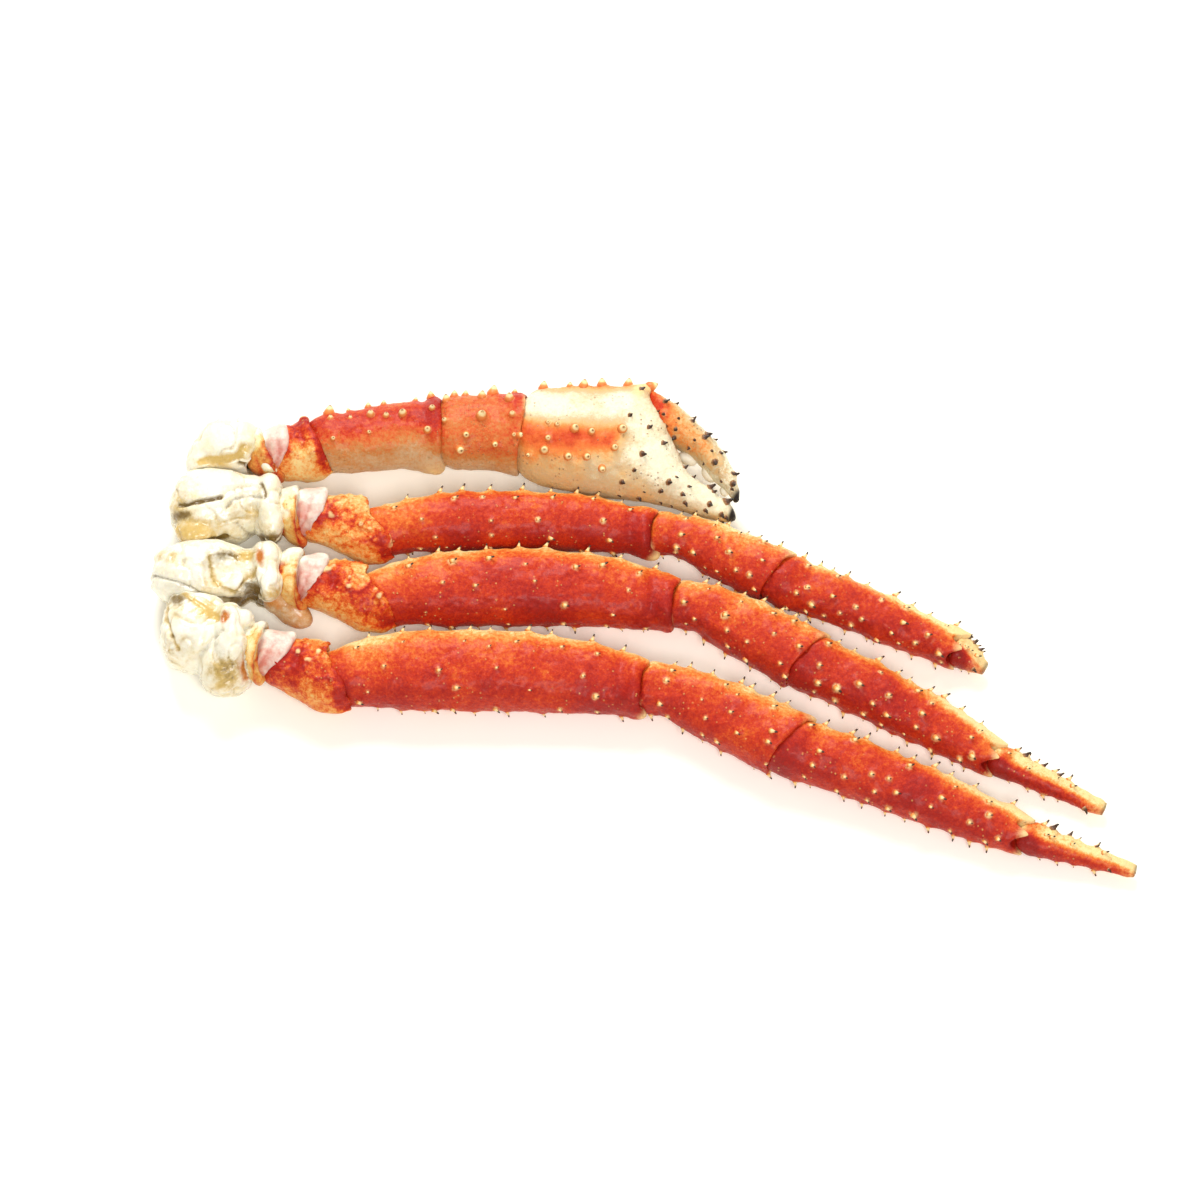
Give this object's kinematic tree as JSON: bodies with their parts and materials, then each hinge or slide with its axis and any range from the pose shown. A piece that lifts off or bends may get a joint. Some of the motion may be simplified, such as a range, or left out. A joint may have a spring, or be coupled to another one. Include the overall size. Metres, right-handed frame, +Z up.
{
  "type": "king crab cluster",
  "caption": "Cooked king crab cluster: spiny red walking legs and a claw limb side by side, held together at the white shoulder.",
  "frame": {"origin": "on the surface it lies on, under the middle of the bounding box", "axes": "+X runs along the limbs from the shoulder to the tips, +Y towards the claw, +Z up"},
  "size_m": [0.4422, 0.2378, 0.0377],
  "materials": {
    "leg_shell": "wet cooked shell, deep red below to orange and cream on the upper side, with pale spines",
    "joint_shell": "knobbly cooked shell, orange to cream",
    "joint_membrane": "thin pinkish grey membrane, satin",
    "shoulder_shell": "wet cream-white shell with yellow and olive patches",
    "claw_shell": "cooked shell, orange-red with cream warts",
    "palm_shell": "cream cooked shell with an orange field and dark dots"
  },
  "bodies": {
    "root": {"leg1_basis": "joint_shell", "leg1_membrane": "joint_membrane", "leg1_ischium": "joint_shell", "leg1_merus": "leg_shell", "leg1_carpus": "leg_shell", "leg1_propodus": "leg_shell", "leg1_dactyl": "leg_shell", "leg2_basis": "joint_shell", "leg2_membrane": "joint_membrane", "leg2_ischium": "joint_shell", "leg2_merus": "leg_shell", "leg2_carpus": "leg_shell", "leg2_propodus": "leg_shell", "leg2_dactyl": "leg_shell", "leg3_basis": "joint_shell", "leg3_membrane": "joint_membrane", "leg3_ischium": "joint_shell", "leg3_merus": "leg_shell", "leg3_carpus": "leg_shell", "leg3_propodus": "leg_shell", "leg3_dactyl": "leg_shell", "claw_basis": "joint_shell", "claw_membrane": "joint_membrane", "claw_ischium": "joint_shell", "claw_merus": "claw_shell", "claw_carpus": "claw_shell", "claw_palm": "palm_shell", "claw_finger": "claw_shell", "claw_coxa": "shoulder_shell", "leg1_coxa": "shoulder_shell", "leg2_coxa": "shoulder_shell", "leg3_coxa": "shoulder_shell"}
  },
  "joints": []
}
